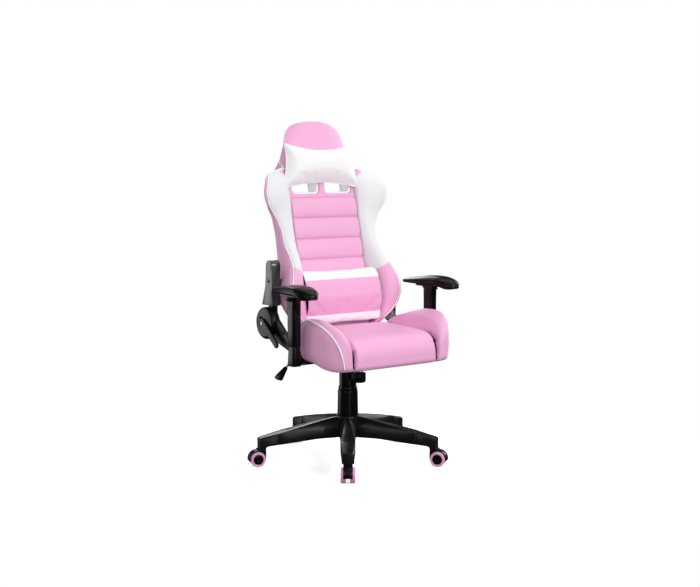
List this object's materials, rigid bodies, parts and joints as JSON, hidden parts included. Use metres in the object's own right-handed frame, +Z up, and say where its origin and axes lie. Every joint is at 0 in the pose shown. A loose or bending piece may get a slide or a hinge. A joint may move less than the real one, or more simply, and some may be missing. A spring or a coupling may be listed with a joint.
{
  "type": "gaming chair",
  "caption": "Racing-style swivel chair with a high padded back, bolstered seat, height-adjustable arms, head and lumbar cushions and a five-leg caster base.",
  "frame": {"origin": "on the floor, under the axis of the gas column", "axes": "+Z up, the chair faces -Y, the sitter's right is -X"},
  "size_m": [0.7378, 0.7016, 1.2595],
  "materials": {
    "black_plastic": "moulded black nylon, fine satin",
    "wheel_plastic": "pink nylon rim round a black cap",
    "black_metal": "black powder coat",
    "steel": "zinc-plated or ground steel",
    "soft_black": "black soft-touch polyurethane",
    "pink_cover": "pink artificial leather over foam, matt",
    "white_cover": "white artificial leather over foam, matt",
    "white_plastic": "white moulded frame"
  },
  "bodies": {
    "base": {"base_star": "black_plastic", "leg_end_caps": "black_plastic", "caster_stems": "steel", "column_tube": "black_metal", "column_bush": "black_plastic", "thrust_bearing": "steel", "cover_lower": "black_plastic"},
    "cover": {"cover_middle": "black_plastic"},
    "rod": {"piston_rod": "steel"},
    "lift": {"gas_cylinder": "black_metal", "cover_upper": "black_plastic", "tilt_housing": "black_metal", "tilt_axle": "steel", "lever_pin": "steel", "tension_spring": "steel"},
    "valve": {"valve_pin": "steel"},
    "height_lever": {"lever_rod": "steel", "lever_grip": "black_plastic"},
    "seat": {"seat_plate": "black_metal", "seat_frame": "black_metal", "seat_pad": "pink_cover", "arm_brackets": "black_metal", "arm_posts": "black_plastic", "seat_hinge_plates": "black_metal", "hinge_covers": "black_plastic", "hinge_pins": "steel"},
    "knob": {"tension_knob": "black_plastic"},
    "back": {"back_hinge_arms": "black_metal", "back_pad": "pink_cover", "slot_bezels": "white_plastic", "head_pillow": "white_cover", "lumbar_pillow": "pink_cover"},
    "recline_handle": {"recline_lever": "black_plastic"},
    "arm_left": {"arm_sleeve_left": "black_plastic", "arm_pad_left": "soft_black"},
    "arm_right": {"arm_sleeve_right": "black_plastic", "arm_pad_right": "soft_black"},
    "trigger_left": {"arm_trigger_left": "black_plastic"},
    "trigger_right": {"arm_trigger_right": "black_plastic"},
    "caster_1": {"caster_1_hood": "black_plastic", "caster_1_axle": "steel"},
    "caster_1_wheel_left": {"caster_1_wheel_left": "wheel_plastic"},
    "caster_1_wheel_right": {"caster_1_wheel_right": "wheel_plastic"},
    "caster_2": {"caster_2_hood": "black_plastic", "caster_2_axle": "steel"},
    "caster_2_wheel_left": {"caster_2_wheel_left": "wheel_plastic"},
    "caster_2_wheel_right": {"caster_2_wheel_right": "wheel_plastic"},
    "caster_3": {"caster_3_hood": "black_plastic", "caster_3_axle": "steel"},
    "caster_3_wheel_left": {"caster_3_wheel_left": "wheel_plastic"},
    "caster_3_wheel_right": {"caster_3_wheel_right": "wheel_plastic"},
    "caster_4": {"caster_4_hood": "black_plastic", "caster_4_axle": "steel"},
    "caster_4_wheel_left": {"caster_4_wheel_left": "wheel_plastic"},
    "caster_4_wheel_right": {"caster_4_wheel_right": "wheel_plastic"},
    "caster_5": {"caster_5_hood": "black_plastic", "caster_5_axle": "steel"},
    "caster_5_wheel_left": {"caster_5_wheel_left": "wheel_plastic"},
    "caster_5_wheel_right": {"caster_5_wheel_right": "wheel_plastic"}
  },
  "joints": [
    {"name": "seat_swivel", "type": "hinge", "parent": "base", "child": "rod", "pos_m": [0, 0, 0.2], "axis": [0, 0, 1], "continuous": true},
    {"name": "seat_height", "type": "slide", "parent": "rod", "child": "lift", "axis": [0, 0, 1], "range_m": [-0.01, 0.078]},
    {"name": "cover_follow", "type": "slide", "parent": "base", "child": "cover", "axis": [0, 0, 1], "range_m": [-0.006, 0.039]},
    {"name": "height_lever_pull", "type": "hinge", "parent": "lift", "child": "height_lever", "pos_m": [-0.05, 0, 0.381], "axis": [0, 1, 0], "range_deg": [0, 3], "stiffness_Nm_per_rad": 20, "springref_deg": -3.44},
    {"name": "valve_press", "type": "slide", "parent": "lift", "child": "valve", "axis": [0, 0, 1], "range_m": [-0.0028, 0]},
    {"name": "seat_rock", "type": "hinge", "parent": "lift", "child": "seat", "pos_m": [0, -0.026, 0.368], "axis": [-1, 0, 0], "range_deg": [0, 10], "stiffness_Nm_per_rad": 400, "springref_deg": -28.65, "deforming": ["tension_spring"]},
    {"name": "tension_turn", "type": "hinge", "parent": "seat", "child": "knob", "pos_m": [0, -0.067, 0.33], "axis": [0, 0, 1], "continuous": true},
    {"name": "back_recline", "type": "hinge", "parent": "seat", "child": "back", "pos_m": [0, 0.095, 0.527], "axis": [-1, 0, 0], "range_deg": [0, 45]},
    {"name": "recline_pull", "type": "hinge", "parent": "seat", "child": "recline_handle", "pos_m": [-0.314, 0.095, 0.527], "axis": [-1, 0, 0], "range_deg": [0, 22], "stiffness_Nm_per_rad": 1, "springref_deg": -20.05},
    {"name": "arm_height_left", "type": "slide", "parent": "seat", "child": "arm_left", "axis": [0, 0, 1], "range_m": [0, 0.07]},
    {"name": "arm_trigger_left_pull", "type": "hinge", "parent": "arm_left", "child": "trigger_left", "pos_m": [0.324, -0.105, 0.631], "axis": [0, -1, 0], "range_deg": [0, 8], "stiffness_Nm_per_rad": 0.3, "springref_deg": -17.19},
    {"name": "arm_height_right", "type": "slide", "parent": "seat", "child": "arm_right", "axis": [0, 0, 1], "range_m": [0, 0.07]},
    {"name": "arm_trigger_right_pull", "type": "hinge", "parent": "arm_right", "child": "trigger_right", "pos_m": [-0.324, -0.105, 0.631], "axis": [0, 1, 0], "range_deg": [0, 8], "stiffness_Nm_per_rad": 0.3, "springref_deg": -17.19},
    {"name": "caster_1_swivel", "type": "hinge", "parent": "base", "child": "caster_1", "pos_m": [0, 0.333, 0.05], "axis": [0, 0, 1], "continuous": true},
    {"name": "caster_1_roll_left", "type": "hinge", "parent": "caster_1", "child": "caster_1_wheel_left", "pos_m": [-0.0165, 0.35, 0.0275], "axis": [-1, 0, 0], "continuous": true},
    {"name": "caster_1_roll_right", "type": "hinge", "parent": "caster_1", "child": "caster_1_wheel_right", "pos_m": [0.0165, 0.35, 0.0275], "axis": [-1, 0, 0], "continuous": true},
    {"name": "caster_2_swivel", "type": "hinge", "parent": "base", "child": "caster_2", "pos_m": [-0.3167, 0.1029, 0.05], "axis": [0, 0, 1], "continuous": true},
    {"name": "caster_2_roll_left", "type": "hinge", "parent": "caster_2", "child": "caster_2_wheel_left", "pos_m": [-0.33797, 0.09246, 0.0275], "axis": [-0.309, -0.9511, 0], "continuous": true},
    {"name": "caster_2_roll_right", "type": "hinge", "parent": "caster_2", "child": "caster_2_wheel_right", "pos_m": [-0.32777, 0.12385, 0.0275], "axis": [-0.309, -0.9511, 0], "continuous": true},
    {"name": "caster_3_swivel", "type": "hinge", "parent": "base", "child": "caster_3", "pos_m": [-0.19573, -0.2694, 0.05], "axis": [0, 0, 1], "continuous": true},
    {"name": "caster_3_roll_left", "type": "hinge", "parent": "caster_3", "child": "caster_3_wheel_left", "pos_m": [-0.19238, -0.29285, 0.0275], "axis": [0.809, -0.5878, 0], "continuous": true},
    {"name": "caster_3_roll_right", "type": "hinge", "parent": "caster_3", "child": "caster_3_wheel_right", "pos_m": [-0.21907, -0.27346, 0.0275], "axis": [0.809, -0.5878, 0], "continuous": true},
    {"name": "caster_4_swivel", "type": "hinge", "parent": "base", "child": "caster_4", "pos_m": [0.19573, -0.2694, 0.05], "axis": [0, 0, 1], "continuous": true},
    {"name": "caster_4_roll_left", "type": "hinge", "parent": "caster_4", "child": "caster_4_wheel_left", "pos_m": [0.21907, -0.27346, 0.0275], "axis": [0.809, 0.5878, 0], "continuous": true},
    {"name": "caster_4_roll_right", "type": "hinge", "parent": "caster_4", "child": "caster_4_wheel_right", "pos_m": [0.19238, -0.29285, 0.0275], "axis": [0.809, 0.5878, 0], "continuous": true},
    {"name": "caster_5_swivel", "type": "hinge", "parent": "base", "child": "caster_5", "pos_m": [0.3167, 0.1029, 0.05], "axis": [0, 0, 1], "continuous": true},
    {"name": "caster_5_roll_left", "type": "hinge", "parent": "caster_5", "child": "caster_5_wheel_left", "pos_m": [0.32777, 0.12385, 0.0275], "axis": [-0.309, 0.9511, 0], "continuous": true},
    {"name": "caster_5_roll_right", "type": "hinge", "parent": "caster_5", "child": "caster_5_wheel_right", "pos_m": [0.33797, 0.09246, 0.0275], "axis": [-0.309, 0.9511, 0], "continuous": true}
  ],
  "couplings": [
    {"joint": "cover_follow", "follows": "seat_height", "ratio": 0.5},
    {"joint": "valve_press", "follows": "height_lever_pull", "m_per_rad": -0.05}
  ]
}
